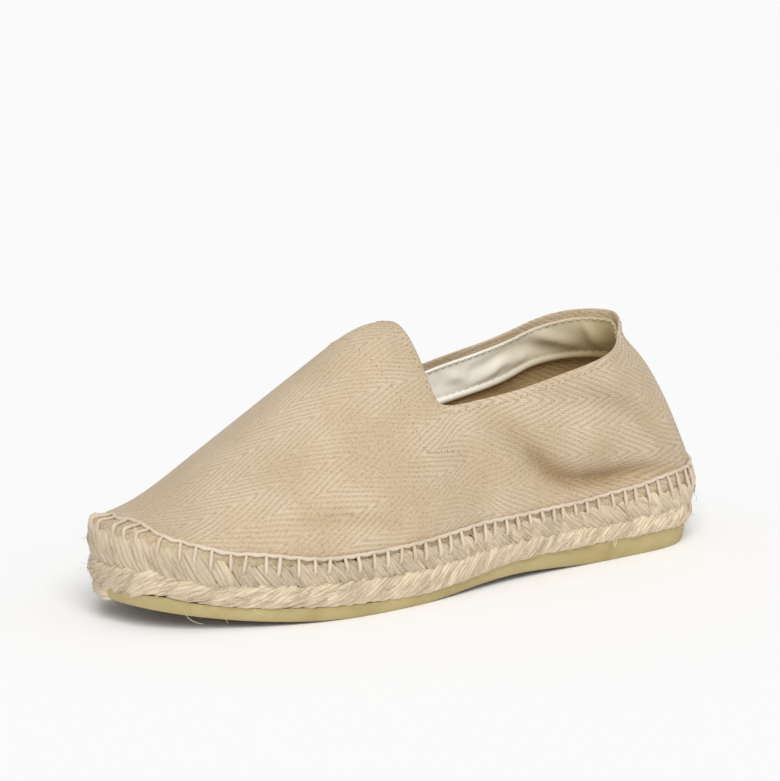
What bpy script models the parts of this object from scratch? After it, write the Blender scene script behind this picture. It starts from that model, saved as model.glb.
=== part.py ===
# Espadrille, one flat slip-on shoe: rubber outsole, braided jute sole, insole and a hollow canvas upper.
# X runs along the shoe with the toe at -X and the heel at +X, the side seen in the photo is -Y, Z is up.
import bpy
import bmesh
import math
import numpy as np

# Named sizes, in metres
LENGTH = 0.288
BALL_WIDTH = 0.1055
INSTEP_HEIGHT = 0.1045
HEEL_HEIGHT = 0.0965
RUBBER_THICKNESS = 0.005
INSOLE_THICKNESS = 0.002
CANVAS_THICKNESS = 0.0018
TOE_SPRING = 0.0105
ARCH_LIFT = 0.0026
SIDE_RIB = 0.0012
HEEL_LEAN = 0.0325
HEEL_TAPER = 0.003
SHOULDER_FULLNESS = 0.003
# The upper's foot stands this far inside the jute's widest line
FEATHER_INSET = 0.0015
FEATHER_HEEL_INSET = 0.0030
# The jute sole's top stands this far above the canvas' lower edge, inside the foot
TUCK = 0.0025
# Neighbouring pieces meet with this space between them
GAP = 0.0003
# The insole's edge stays this far from the upper's inner face, and further at the pointed toe
INSOLE_MARGIN = 0.0015
INSOLE_TOE_MARGIN = 0.0045

# Plan of the jute sole: share of the length from the heel, half width as a share of half the ball width
PLAN = (
    (0.03, 0.400),
    (0.08, 0.612),
    (0.16, 0.692),
    (0.28, 0.732),
    (0.42, 0.808),
    (0.56, 0.942),
    (0.68, 1.000),
    (0.78, 0.940),
    (0.87, 0.778),
    (0.94, 0.582),
    (0.98, 0.368),
)
# Stitched foot of the upper: share of the length, height over the sole's underside, height of the canvas below it
FOOT = (
    (0.00, 0.0330, 0.0082),
    (0.12, 0.0313, 0.0072),
    (0.25, 0.0277, 0.0052),
    (0.50, 0.0260, 0.0042),
    (0.75, 0.0272, 0.0042),
    (0.88, 0.0258, 0.0046),
    (1.00, 0.0295, 0.0060),
)
# Collar from the back seam to the throat: share along the topline, half width as a share of half the ball width,
# then the near and the far side's height as shares of the way from the notch up to the back
COLLAR = (
    (0.000, 0.000, 1.00, 1.00),
    (0.016, 0.200, 0.84, 1.00),
    (0.044, 0.350, 0.64, 0.95),
    (0.084, 0.490, 0.52, 0.80),
    (0.136, 0.590, 0.42, 0.54),
    (0.196, 0.624, 0.31, 0.36),
    (0.260, 0.636, 0.18, 0.22),
    (0.340, 0.641, 0.06, 0.05),
    (0.454, 0.634, 0.00, 0.00),
)
# Vamp from the throat to the toe: share along the ridge, ridge height as a share of the way from the foot
# up to the instep, and the two powers that round the section
VAMP = (
    (0.454, 1.000, 1.36, 0.47),
    (0.510, 0.997, 1.40, 0.47),
    (0.580, 0.880, 1.50, 0.49),
    (0.675, 0.665, 1.60, 0.53),
    (0.795, 0.415, 1.60, 0.60),
    (0.895, 0.205, 1.55, 0.66),
    (0.955, 0.080, 1.50, 0.70),
    (0.985, 0.026, 1.50, 0.70),
    (1.000, 0.000, 1.50, 0.70),
)
# Side of the jute sole: share of the way from its underside up to the canvas' edge, inset in rib depths
JUTE_SIDE = (
    (0.00, 2.60),
    (0.06, 1.20),
    (0.22, 0.15),
    (0.38, 0.35),
    (0.50, 1.15),
    (0.62, 0.45),
    (0.80, 0.00),
    (0.94, 0.50),
    (1.00, 1.00),
)
# Side of the rubber: share of its thickness, inset at the sides, inset at the heel
RUBBER_SIDE = (
    (0.00, 0.0032, 0.0076),
    (0.22, 0.0025, 0.0064),
    (1.00, 0.0022, 0.0052),
)

# The inner face drops under the collar's edge over this stretch before the throat
THROAT_RUN = 0.12
# Where the three lines between the foot and the ridge lie, as shares of a section's half width
SECTION_MID = 0.92
SECTION_SHOULDER = 0.73
SECTION_UPPER = 0.38
# A plan's direction is read over this much of its angle to each side
PLAN_STEP = 0.004
STATIONS = 54
# The step between the canvas' lower edge and its stitched foot, as a share of that band
BAND_STEP = 0.45
COLLAR_STATIONS = 26
VAMP_STATIONS = 30
STEPS = (4, 4, 4, 3)


def angle_of(share):
    """Even steps of this angle make round ends out of a share from 0 to 1."""
    return math.acos(1 - 2 * share) / math.pi


def share_of(angle):
    return (1 - math.cos(math.pi * angle)) / 2


def spline(xs, ys):
    """A natural cubic through the points, as a function."""
    xs = np.array(xs, float)
    ys = np.array(ys, float)
    n = len(xs)
    h = np.diff(xs)
    m = np.zeros((n, n))
    r = np.zeros(n)
    m[0, 0] = 1
    m[-1, -1] = 1
    for i in range(1, n - 1):
        m[i, i - 1] = h[i - 1]
        m[i, i] = 2 * (h[i - 1] + h[i])
        m[i, i + 1] = h[i]
        r[i] = 6 * ((ys[i + 1] - ys[i]) / h[i] - (ys[i] - ys[i - 1]) / h[i - 1])
    c = np.linalg.solve(m, r)

    def at(x):
        i = int(np.clip(np.searchsorted(xs, x) - 1, 0, n - 2))
        a = (xs[i + 1] - x) / h[i]
        b = (x - xs[i]) / h[i]
        bend = ((a**3 - a) * c[i] + (b**3 - b) * c[i + 1]) * h[i] ** 2 / 6
        return a * ys[i] + b * ys[i + 1] + bend

    return at


def column(table, index):
    """One column of a table as a smooth function of the angle along the shoe."""
    return spline([angle_of(row[0]) for row in table], [row[index] for row in table])


def even_column(table, index):
    """The same, smooth along the length itself, for a line that runs straight out over both ends."""
    curve = spline([row[0] for row in table], [row[index] for row in table])
    return lambda angle: curve(share_of(angle))


plan_width = spline(
    [0] + [angle_of(row[0]) for row in PLAN] + [1],
    [0] + [row[1] for row in PLAN] + [0],
)
foot_height = even_column(FOOT, 1)
foot_band = even_column(FOOT, 2)
collar_width = column(COLLAR, 1)
collar_near = column(COLLAR, 2)
collar_far = column(COLLAR, 3)
ridge_share = column(VAMP, 1)
section_power = column(VAMP, 2)
section_root = column(VAMP, 3)
THROAT = angle_of(COLLAR[-1][0])


def underside(x):
    """Height of the sole's underside: flat at heel and forefoot, hollow at the arch, lifted at the toe."""
    share = 0.5 - x / LENGTH
    spring = TOE_SPRING * (max(0.0, share - 0.68) / 0.32) ** 2
    arch = max(0.0, 1 - ((share - 0.42) / 0.18) ** 2) ** 2
    return spring + ARCH_LIFT * arch


def outline_point(angle):
    return LENGTH * (0.5 - share_of(angle)), BALL_WIDTH / 2 * plan_width(angle)


def inset_point(angle, inset, plan=outline_point):
    """A point of a plan, moved in square to its edge. The far side mirrors it."""
    x, y = plan(angle)
    if angle <= 0:
        return x - inset, 0.0
    if angle >= 1:
        return x + inset, 0.0
    before = plan(max(angle - PLAN_STEP, 0.0))
    after = plan(min(angle + PLAN_STEP, 1.0))
    dx = after[0] - before[0]
    dy = after[1] - before[1]
    size = math.hypot(dx, dy)
    return x - inset * dy / size, y + inset * dx / size


def canvas_edge(angle, x):
    return underside(x) + foot_height(angle) - foot_band(angle)


def angle_at(x):
    return angle_of(min(max(0.5 - x / LENGTH, 0.0), 1.0))


def jute_top(x):
    return canvas_edge(angle_at(x), x) + TUCK


def colour(red, green, blue):
    def linear(value):
        value /= 255
        return value / 12.92 if value <= 0.04045 else ((value + 0.055) / 1.055) ** 2.4

    return linear(red), linear(green), linear(blue), 1.0


def material(name, tone, roughness):
    made = bpy.data.materials.new(name)
    made.use_nodes = True
    shader = made.node_tree.nodes["Principled BSDF"]
    shader.inputs["Base Color"].default_value = colour(*tone)
    shader.inputs["Roughness"].default_value = roughness
    shader.inputs["Metallic"].default_value = 0.0
    return made


def add_piece(name, verts, faces, finish):
    mesh = bpy.data.meshes.new(name)
    mesh.from_pydata([tuple(v) for v in verts], [], faces)
    body = bmesh.new()
    body.from_mesh(mesh)
    bmesh.ops.remove_doubles(body, verts=body.verts, dist=1e-6)
    bmesh.ops.dissolve_degenerate(body, dist=1e-6, edges=body.edges)
    loose = [vert for vert in body.verts if not vert.link_faces]
    bmesh.ops.delete(body, geom=loose, context="VERTS")
    body.to_mesh(mesh)
    body.free()
    piece = bpy.data.objects.new(name, mesh)
    bpy.context.collection.objects.link(piece)
    mesh.materials.append(finish)
    return piece


def wall_between(name, outer, inner, faces, finish):
    """Closes two like grids of points into one wall, along every edge that only one face has."""
    first = {}
    same = [first.setdefault(tuple(round(c, 7) for c in point), k) for k, point in enumerate(outer)]
    loops = []
    for face in faces:
        loop = tuple(dict.fromkeys(same[v] for v in face))
        if len(loop) > 2:
            loops.append(loop)
    shift = len(outer)
    walls = loops + [tuple(v + shift for v in reversed(loop)) for loop in loops]
    sides = {(loop[k - 1], loop[k]) for loop in loops for k in range(len(loop))}
    for start, end in sorted(sides):
        if (end, start) not in sides:
            walls.append((end, start, start + shift, end + shift))
    return add_piece(name, outer + inner, walls, finish)


def flat_body(name, rings, finish):
    """A body built of rings from the bottom up. Each ring goes along the near side and back along the far one."""
    n = STATIONS
    around = 2 * n
    verts = [point for ring in rings for point in ring]
    faces = []
    for k in range(len(rings) - 1):
        for i in range(around):
            j = (i + 1) % around
            faces.append((k * around + j, k * around + i, (k + 1) * around + i, (k + 1) * around + j))
    top = (len(rings) - 1) * around
    for i in range(n):
        near = (i, i + 1)
        far = ((around - i) % around, around - i - 1)
        low = (near[0], near[1], far[1], far[0])
        high = tuple(top + v for v in reversed(low))
        for face in (low, high):
            kept = tuple(dict.fromkeys(face))
            faces.append(kept)
    return add_piece(name, verts, faces, finish)


def ring(inset_at, height_at):
    near = []
    for i in range(STATIONS + 1):
        angle = i / STATIONS
        x, y = inset_point(angle, inset_at(angle))
        near.append((x, -y, height_at(angle, x)))
    far = [(x, -y, z) for x, y, z in near[-2:0:-1]]
    return near + far


def heel_share(angle):
    """1 at the back of the heel, 0 from the waist on."""
    return max(0.0, 1 - share_of(angle) / 0.16) ** 2


def foot_inset(angle):
    return FEATHER_INSET + (FEATHER_HEEL_INSET - FEATHER_INSET) * heel_share(angle)


def build_outsole(finish):
    rings = []
    for level, side, heel in RUBBER_SIDE:
        rings.append(
            ring(
                lambda a, s=side, h=heel: s + (h - s) * heel_share(a),
                lambda a, x, k=level: underside(x) + RUBBER_THICKNESS * k,
            )
        )
    return flat_body("outsole", rings, finish)


def heel_taper(level):
    return HEEL_TAPER * max(0.0, 1 - level / 0.8)


def build_jute(finish):
    rings = []
    for level, depth in JUTE_SIDE:

        def height(angle, x, k=level):
            low = underside(x) + RUBBER_THICKNESS + GAP
            return low + (canvas_edge(angle, x) - GAP - low) * k

        rings.append(
            ring(
                lambda a, d=depth, k=level: d * SIDE_RIB + heel_taper(k) * heel_share(a),
                height,
            )
        )

    def inner(angle):
        return foot_inset(angle) + CANVAS_THICKNESS + GAP

    rings.append(ring(inner, lambda a, x: canvas_edge(a, x) - GAP))
    rings.append(ring(inner, lambda a, x: jute_top(x)))
    return flat_body("jute_sole", rings, finish)


def build_insole(finish):
    def edge(angle):
        toe = max(0.0, (share_of(angle) - 0.8) / 0.2)
        inner = foot_inset(angle) + CANVAS_THICKNESS + INSOLE_MARGIN
        return inner + INSOLE_TOE_MARGIN * toe

    def low(angle, x):
        return jute_top(x) + GAP

    def high(angle, x):
        return low(angle, x) + INSOLE_THICKNESS

    return flat_body("insole", [ring(edge, low), ring(edge, high)], finish)


def collar_plan(angle):
    """Plan of the collar's line. Its heel end leans forward from the foot's, its toe end meets it."""
    heel = LENGTH / 2 - foot_inset(0.0) - HEEL_LEAN
    toe = -LENGTH / 2 + foot_inset(1.0)
    return heel + (toe - heel) * share_of(angle), BALL_WIDTH / 2 * collar_width(angle)


def foot_point(angle, depth):
    """A point of the stitched foot on the far side. Depth is 0 on the canvas' outer face."""
    x, y = inset_point(angle, foot_inset(angle) + depth)
    return x, y, underside(x) + foot_height(angle) - depth


def side_points(angle, side, depth):
    """Foot, mid wall, shoulder, upper point and ridge of one side of a section of the last."""
    x0, y0, z0 = foot_point(angle, depth)
    notch_z = notch_height()
    if angle >= THROAT:
        power = section_power(angle)
        root = section_root(angle)
        rise = ridge_share(angle) * (INSTEP_HEIGHT - throat_foot())
        past_throat = (share_of(angle) - share_of(THROAT)) / (1 - share_of(THROAT))
        x2 = collar_plan(angle)[0] + depth * past_throat

        def on_dome(share):
            return share * y0, z0 + rise * (1 - share**power) ** root

        y1, z1 = on_dome(SECTION_MID)
        y2, z2 = on_dome(SECTION_SHOULDER)
        y3, z3 = on_dome(SECTION_UPPER)
        z4 = z0 + rise
    else:
        shares = collar_near(angle) if side < 0 else collar_far(angle)
        x2, y2 = inset_point(angle, depth, collar_plan)
        z2 = notch_z + (HEEL_HEIGHT - notch_z) * shares
        z2 -= depth * max(0.0, 1 - (THROAT - angle) / THROAT_RUN) ** 2
        up = dome_height(SECTION_MID) / dome_height(SECTION_SHOULDER)
        full = SHOULDER_FULLNESS * share_of(angle) / share_of(THROAT)
        y1 = y0 + (y2 - y0) * up + full
        z1 = z0 + (z2 - z0) * up
        y3 = y2 * SECTION_UPPER / SECTION_SHOULDER
        above = INSTEP_HEIGHT - notch_z
        shoulder = dome_height(SECTION_SHOULDER)
        z3 = z2 + above * (dome_height(SECTION_UPPER) - shoulder) / (1 - shoulder)
        z4 = z2 + above
    x1 = (x0 + x2) / 2
    rows = ((x0, y0, z0), (x1, y1, z1), (x2, y2, z2), (x2, y3, z3), (x2, 0.0, z4))
    return [(x, side * y, z) for x, y, z in rows]


def dome_height(share):
    """Height of the throat's section at a share of its half width, as a share of its rise."""
    return (1 - share ** VAMP[0][2]) ** VAMP[0][3]


def throat_foot():
    return foot_point(THROAT, 0.0)[2]


def notch_height():
    foot = throat_foot()
    return foot + (INSTEP_HEIGHT - foot) * dome_height(SECTION_SHOULDER)


def section(angle, depth):
    """One face of the upper at one place, from the near foot over the ridge to the far foot."""
    near = side_points(angle, -1, depth)
    far = side_points(angle, 1, depth)
    top = tuple((a + b) / 2 for a, b in zip(near[4], far[4]))
    knots = np.array(near[:4] + [top] + far[3::-1])
    steps = np.linalg.norm(np.diff(knots, axis=0), axis=1)
    along = np.concatenate([[0], np.cumsum(np.maximum(steps, 1e-5))])
    curves = [spline(along, knots[:, axis]) for axis in range(3)]
    counts = STEPS + STEPS[::-1]
    places = [along[0]]
    for k, count in enumerate(counts):
        places += [along[k] + (along[k + 1] - along[k]) * (s + 1) / count for s in range(count)]
    points = [[curve(place) for curve in curves] for place in places]
    drop = foot_band(angle)
    ends = []
    for x, y, z in (points[0], points[-1]):
        ends.append([(x, y, canvas_edge(angle, x)), (x, y, z - drop * BAND_STEP)])
    return ends[0] + points + ends[1][::-1]


def upper_face(depth):
    """The sections of one face in a row along the shoe, closed to a seam at the heel and a point at the toe."""
    angles = [THROAT * i / COLLAR_STATIONS for i in range(COLLAR_STATIONS + 1)]
    angles += [THROAT + (1 - THROAT) * i / VAMP_STATIONS for i in range(1, VAMP_STATIONS + 1)]
    rows = [section(angle, depth) for angle in angles]
    last = len(rows[0]) - 1
    for row in (rows[0], rows[-1]):
        for k in range(len(row)):
            row[k] = (row[k][0], 0.0, row[k][2])
    for k in range(last // 2 + 1):
        rows[0][last - k] = rows[0][k]
    for k in range(2, last - 1):
        rows[-1][k] = rows[-1][2]
    return rows


def build_upper(finish):
    """A wall between two faces, left open over the foot's collar and underneath."""
    outer = upper_face(0.0)
    inner = upper_face(CANVAS_THICKNESS)
    width = len(outer[0])
    side = 2 + STEPS[0] + STEPS[1]
    faces = []
    for i in range(len(outer) - 1):
        for k in range(width - 1):
            if i < COLLAR_STATIONS and side <= k < width - 1 - side:
                continue
            a = i * width + k
            faces.append((a + 1, a + width + 1, a + width, a))
    grids = [[tuple(point) for row in rows for point in row] for rows in (outer, inner)]
    return wall_between("upper", *grids, faces, finish)


def main():
    for thing in list(bpy.data.objects):
        bpy.data.objects.remove(thing, do_unlink=True)
    rubber = material("rubber", (184, 167, 116), 0.55)
    jute = material("jute", (222, 204, 172), 0.9)
    canvas = material("canvas", (211, 193, 162), 0.9)
    lining = material("insole_cloth", (206, 190, 160), 0.9)
    build_outsole(rubber)
    build_jute(jute)
    build_insole(lining)
    build_upper(canvas)


main()
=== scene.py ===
# %% [markdown]
# # A canvas espadrille, dressed around its solids
# An espadrille is a cloth upper sewn with one thick thread onto a sole of plaited jute, with a thin
# rubber sheet under it. The solids already have the true shape of all four pieces. This lesson gives
# them what the eye looks for: folds and weave in the canvas, the lining tape inside the collar, the
# blanket stitch around the foot, the plait's strands, and the loose fibres that jute always has.

# %% Load the fixed frame
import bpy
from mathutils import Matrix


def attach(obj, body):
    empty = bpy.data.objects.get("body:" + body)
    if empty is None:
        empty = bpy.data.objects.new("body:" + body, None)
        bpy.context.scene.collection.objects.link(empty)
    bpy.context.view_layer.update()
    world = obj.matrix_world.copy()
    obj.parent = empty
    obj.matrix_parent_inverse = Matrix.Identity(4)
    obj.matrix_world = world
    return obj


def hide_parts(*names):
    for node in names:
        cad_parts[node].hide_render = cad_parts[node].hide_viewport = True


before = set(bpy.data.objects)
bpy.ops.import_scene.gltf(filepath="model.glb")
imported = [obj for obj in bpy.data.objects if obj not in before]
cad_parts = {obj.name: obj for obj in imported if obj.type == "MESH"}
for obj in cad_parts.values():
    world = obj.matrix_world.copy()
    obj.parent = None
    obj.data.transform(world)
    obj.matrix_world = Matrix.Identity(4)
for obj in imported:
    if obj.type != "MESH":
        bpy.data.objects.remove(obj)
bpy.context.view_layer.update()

# %% Modules, and the unit of every size below
import math
import random

import bpy
import numpy as np
from mathutils import Vector, noise
from mathutils.bvhtree import BVHTree

MM = 0.001

# %% [markdown]
# ## Camera
# The photograph looks at the near side from in front of the toe, a little above the floor. A long
# lens far away keeps the shoe's proportions, as in a catalogue picture. The camera is turned until
# the floor point under the middle of the shoe falls on its place in the photograph, because turning
# it needs no shift of the lens, which other views would keep.

# %% Camera
PHOTO_HEIGHT = 781
PHOTO_CENTRE = (390.0, 390.5)
ORIGIN_PIXEL = (405.43, 570.87)
FOCAL_PIXELS = 3687.46
CAMERA_AZIMUTH = math.radians(-36)
CAMERA_ELEVATION = math.radians(14)
CAMERA_DISTANCE = 1.5
SENSOR_MM = 36.0

towards_camera = Vector((
    math.sin(CAMERA_AZIMUTH) * math.cos(CAMERA_ELEVATION),
    -math.cos(CAMERA_AZIMUTH) * math.cos(CAMERA_ELEVATION),
    math.sin(CAMERA_ELEVATION),
))
bpy.ops.object.camera_add(location=towards_camera * CAMERA_DISTANCE)
camera = bpy.context.object
camera.data.sensor_width = SENSOR_MM
camera.data.lens = FOCAL_PIXELS * SENSOR_MM / PHOTO_HEIGHT
seen_at = Vector((
    ORIGIN_PIXEL[0] - PHOTO_CENTRE[0],
    PHOTO_CENTRE[1] - ORIGIN_PIXEL[1],
    -FOCAL_PIXELS,
))
straight = (-towards_camera).to_track_quat("-Z", "Y")
camera.rotation_mode = "QUATERNION"
camera.rotation_quaternion = straight @ seen_at.rotation_difference(Vector((0, 0, -1)))
camera.data.clip_end = 50
bpy.context.scene.camera = camera
print("lens", round(camera.data.lens, 1), "mm at", tuple(round(c, 3) for c in camera.location))

# %% [markdown]
# ## Floor and light
# The picture was taken on a white sweep under large soft lamps, so the cloth shows its folds by
# gentle shading and the only dark place is the gap under the raised toe. A bright even sky gives the
# soft fill, and one very wide sun gives the folds their direction without a hard edge.

# %% A colour as people write it
def tone(code):
    """Turns an sRGB hex value into the linear colour that Blender's shaders use."""
    parts = [int(code[i:i + 2], 16) / 255 for i in (1, 3, 5)]
    linear = [p / 12.92 if p <= 0.04045 else ((p + 0.055) / 1.055) ** 2.4 for p in parts]
    return (*linear, 1.0)


# %% Helpers for shader nodes and finishes
def plug(tree, node, links):
    """Fills inputs by name, or by count as in0, with a value, a socket, or a node's first output."""
    for name, value in links.items():
        key = int(name[2:]) if name[:2] == "in" and name[2:].isdigit() else name.replace("_", " ")
        if isinstance(value, bpy.types.Node):
            value = value.outputs[0]
        if isinstance(value, bpy.types.NodeSocket):
            tree.links.new(value, node.inputs[key])
        else:
            node.inputs[key].default_value = value


def add(tree, kind, settings=None, stops=(), **links):
    """Adds a node with its settings and links. Stops are a colour ramp's places and hex colours."""
    node = tree.nodes.new("ShaderNode" + kind)
    for name, value in (settings or {}).items():
        setattr(node, name, value)
    for k, (place, code) in enumerate(stops):
        elements = node.color_ramp.elements
        stop = elements[k] if k < 2 else elements.new(place)
        stop.position, stop.color = place, tone(code)
    plug(tree, node, links)
    return node


def new_finish(name):
    """An empty material and its nodes, ready for a finish."""
    made = bpy.data.materials.new(name)
    made.use_nodes = True
    return made, made.node_tree


def finished(made, **sockets):
    """Fills the principled shader's own sockets: links for what varies, plain values for the rest."""
    plug(made.node_tree, made.node_tree.nodes["Principled BSDF"], sockets)
    return made


# %% Floor
FLOOR_SIZE = 14.0
bpy.ops.mesh.primitive_plane_add(size=FLOOR_SIZE)
floor = bpy.context.object
floor.name = "floor"
paper, _ = new_finish("matt_white_paper_sweep")
finished(paper, Base_Color=tone("#FAFAFA"), Roughness=0.95, Specular_IOR_Level=0.1)
floor.data.materials.append(paper)

# %% Light
SKY_STRENGTH = 0.52
SUN_STRENGTH = 2.2
SUN_WIDTH = math.radians(40)
SUN_FROM = Vector((-0.35, -0.62, 0.7))
world = bpy.data.worlds.new("soft_studio")
bpy.context.scene.world = world
world.use_nodes = True
world.node_tree.nodes["Background"].inputs["Color"].default_value = (1, 1, 1, 1)
world.node_tree.nodes["Background"].inputs["Strength"].default_value = SKY_STRENGTH
bpy.ops.object.light_add(type="SUN", rotation=SUN_FROM.to_track_quat("Z", "Y").to_euler())
sun = bpy.context.object
sun.data.energy = SUN_STRENGTH
sun.data.angle = SUN_WIDTH
bpy.context.scene.view_settings.view_transform = "Standard"

# %% [markdown]
# ## The upper's canvas
# The upper is one piece of heavy cotton on the last. Its solid has the right form and wall, but a
# broken-in cloth also sags between its seams. The way here is to copy the solid, join its loose
# triangles into quads, smooth it with a subdivision surface and then push the main creases in, each
# as a soft trough or ridge along a short line of points in the shoe's own millimetres.

# %% Helpers to copy a solid and work on it alone
def only(piece):
    """Selects one object and nothing else."""
    bpy.ops.object.select_all(action="DESELECT")
    piece.select_set(True)
    bpy.context.view_layer.objects.active = piece
    return piece


def copy_solid(node, name):
    """Copies a solid, merges its loose triangles and makes quads of them where it can."""
    piece = bpy.data.objects.new(name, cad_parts[node].data.copy())
    bpy.context.collection.objects.link(piece)
    only(piece)
    bpy.ops.object.mode_set(mode="EDIT")
    bpy.ops.mesh.select_all(action="SELECT")
    bpy.ops.mesh.remove_doubles(threshold=0.01 * MM)
    bpy.ops.mesh.tris_convert_to_quads(
        face_threshold=math.radians(60), shape_threshold=math.radians(60)
    )
    bpy.ops.mesh.customdata_custom_splitnormals_clear()
    bpy.ops.object.mode_set(mode="OBJECT")
    piece.data.materials.clear()
    return piece


def smoothed(piece, levels):
    """Applies a subdivision surface and shades the piece smooth."""
    only(piece)
    modifier = piece.modifiers.new("rounding", "SUBSURF")
    modifier.levels = modifier.render_levels = levels
    bpy.ops.object.modifier_apply(modifier=modifier.name)
    bpy.ops.object.shade_smooth()
    return piece


def places_of(piece):
    flat = np.empty(len(piece.data.vertices) * 3)
    piece.data.vertices.foreach_get("co", flat)
    return flat.reshape(-1, 3)


def put_back(piece, places):
    piece.data.vertices.foreach_set("co", places.ravel())
    piece.data.update()


upper = smoothed(copy_solid("upper", "canvas_upper"), 2)
print("canvas:", len(upper.data.polygons), "faces")

# %% [markdown]
# ## The creases
# Four things pull on the cloth of this shoe. The quarter hangs from the collar and meets the stiff
# foot seam, so it bends into one long trough with a bulge above it. The vamp has a low crease where
# the toes bend. The back of the heel leans forward and has a soft dent below its edge. The thread
# around the foot gathers the cloth, which leaves a row of faint puckers above it. The far side isn't
# in the picture, so it gets a calmer version of the same folds.

# %% Crease lines, in millimetres along the shoe and up
NEAR_FOLDS = (
    # depth inwards, reach, points (x, z)
    (2.9, 7.0, ((15, 69), (31, 56), (46, 43), (60, 37), (80, 35.5), (104, 34))),
    (2.9, 3.0, ((36, 51), (48, 40), (60, 35.5), (76, 34.5), (90, 35.5), (104, 35), (118, 32.5))),
    (-2.2, 9.0, ((44, 57), (62, 53), (84, 52), (100, 50))),
    (2.2, 6.5, ((47, 72), (69, 71), (91, 61), (108, 47), (120, 36))),
    (-1.0, 6.0, ((60, 79), (80, 75), (98, 66))),
    (1.5, 3.5, ((-84, 40), (-65, 40), (-49, 36.5), (-33, 31))),
    (-0.8, 4.5, ((-82, 46), (-62, 46), (-44, 42))),
    (1.1, 7.0, ((-14, 60), (2, 52), (14, 42))),
    (-0.7, 8.0, ((-62, 66), (-46, 74), (-30, 80))),
)
FAR_FOLDS = (
    (2.6, 8.0, ((20, 60), (46, 47), (74, 40), (98, 40))),
    (-1.4, 9.0, ((44, 62), (70, 58), (94, 56))),
    (1.2, 5.0, ((-70, 42), (-50, 39), (-30, 34))),
)
# depth, height and reach of the dent behind the heel, and where along the shoe it sets in
BACK_DENT = (2.6 * MM, 87 * MM, 7 * MM)
BACK_FROM, BACK_FADE = 84 * MM, 22 * MM
PUCKERS, PUCKER_DEPTH, PUCKER_HEIGHT, PUCKER_REACH = 58, 0.28 * MM, 35 * MM, 6 * MM
LENGTH_TO_WIDTH = 2.7
SPINE = (-112 * MM, 84 * MM)
RIDGE_FADE = 12 * MM
DARKEST_DEPTH = 5 * MM
HELD_BELOW, HELD_FADE = 27.5 * MM, 6 * MM


def outward(places):
    """Level directions away from the shoe's middle line, turning around the heel and the toe."""
    middle = np.clip(places[:, 0], *SPINE)
    away = np.stack([places[:, 0] - middle, places[:, 1], np.zeros(len(places))], axis=1)
    return away / np.maximum(np.linalg.norm(away, axis=1, keepdims=True), 1e-6)


def distance_to_line(flat, line):
    """Distance of many flat points from a chain of points, and how far along it the nearest lies."""
    line = np.array(line, float) * MM
    steps = np.linalg.norm(np.diff(line, axis=0), axis=1)
    start = np.concatenate([[0], np.cumsum(steps)])
    best = np.full(len(flat), 1e9)
    along = np.zeros(len(flat))
    for k in range(len(line) - 1):
        way = line[k + 1] - line[k]
        share = np.clip(((flat - line[k]) @ way) / (way @ way), 0, 1)
        gap = np.linalg.norm(flat - line[k] - share[:, None] * way, axis=1)
        nearer = gap < best
        best[nearer] = gap[nearer]
        along[nearer] = (start[k] + share * steps[k])[nearer] / start[-1]
    return best, along


def crease(places, folds, side, shade):
    """Moves the points of one side in, or out where the depth is negative, and notes the shade."""
    wall = np.clip(np.abs(places[:, 1]) / RIDGE_FADE, 0, 1)
    here = np.where(places[:, 1] * side > 0, wall, 0)
    away = outward(places)
    for depth, reach, line in folds:
        gap, along = distance_to_line(places[:, [0, 2]], line)
        ends = np.sin(math.pi * np.clip(0.12 + 0.76 * along, 0, 1))
        push = depth * MM * np.exp(-(gap / (reach * MM)) ** 2) * ends * here
        places -= away * push[:, None]
        # painted shade: the depth pushed in is kept, to darken the canvas's colour in each trough
        shade += push / DARKEST_DEPTH
    return places


def hold_edges(places, before):
    """Keeps the stitched foot where it is, however the cloth above it folds."""
    keep = np.clip((places[:, 2] - HELD_BELOW) / HELD_FADE, 0, 1)[:, None]
    return before + (places - before) * keep


canvas_points = places_of(upper)
still = canvas_points.copy()
fold_shade = np.zeros(len(canvas_points))
canvas_points = crease(canvas_points, NEAR_FOLDS, -1, fold_shade)
canvas_points = crease(canvas_points, FAR_FOLDS, 1, fold_shade)
dent_depth, dent_height, dent_reach = BACK_DENT
behind = np.clip((canvas_points[:, 0] - BACK_FROM) / BACK_FADE, 0, 1)
dent = dent_depth * behind * np.exp(-((canvas_points[:, 2] - dent_height) / dent_reach) ** 2)
canvas_points -= outward(canvas_points) * dent[:, None]
canvas_points = hold_edges(canvas_points, still)
reach = np.abs(canvas_points[:, 2] - PUCKER_HEIGHT) / PUCKER_REACH
way = np.arctan2(canvas_points[:, 1], canvas_points[:, 0] / LENGTH_TO_WIDTH) * PUCKERS
irregular = way + 1.4 * np.sin(0.37 * way)
pucker = PUCKER_DEPTH * np.sin(irregular) * np.exp(-reach ** 2)
canvas_points += outward(canvas_points) * pucker[:, None]
put_back(upper, canvas_points)
upper.data.attributes.new("shade", "FLOAT", "POINT").data.foreach_set("value", fold_shade)
print("deepest crease", round(float(np.abs(canvas_points - still).max()) / MM, 2), "mm")

# %% [markdown]
# ## The cloth's own directions
# Herringbone is a twill that turns back at every stripe, so it can't be a pattern in space: it has
# to follow the cloth. On the vamp its stripes run from toe to throat, beside the ridge. On the
# quarter they follow the collar. Each point gets two lengths in metres, along and across the
# stripes, and a UV map keeps them. The two laws are blended under the notch, as the cloth bends.

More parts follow.
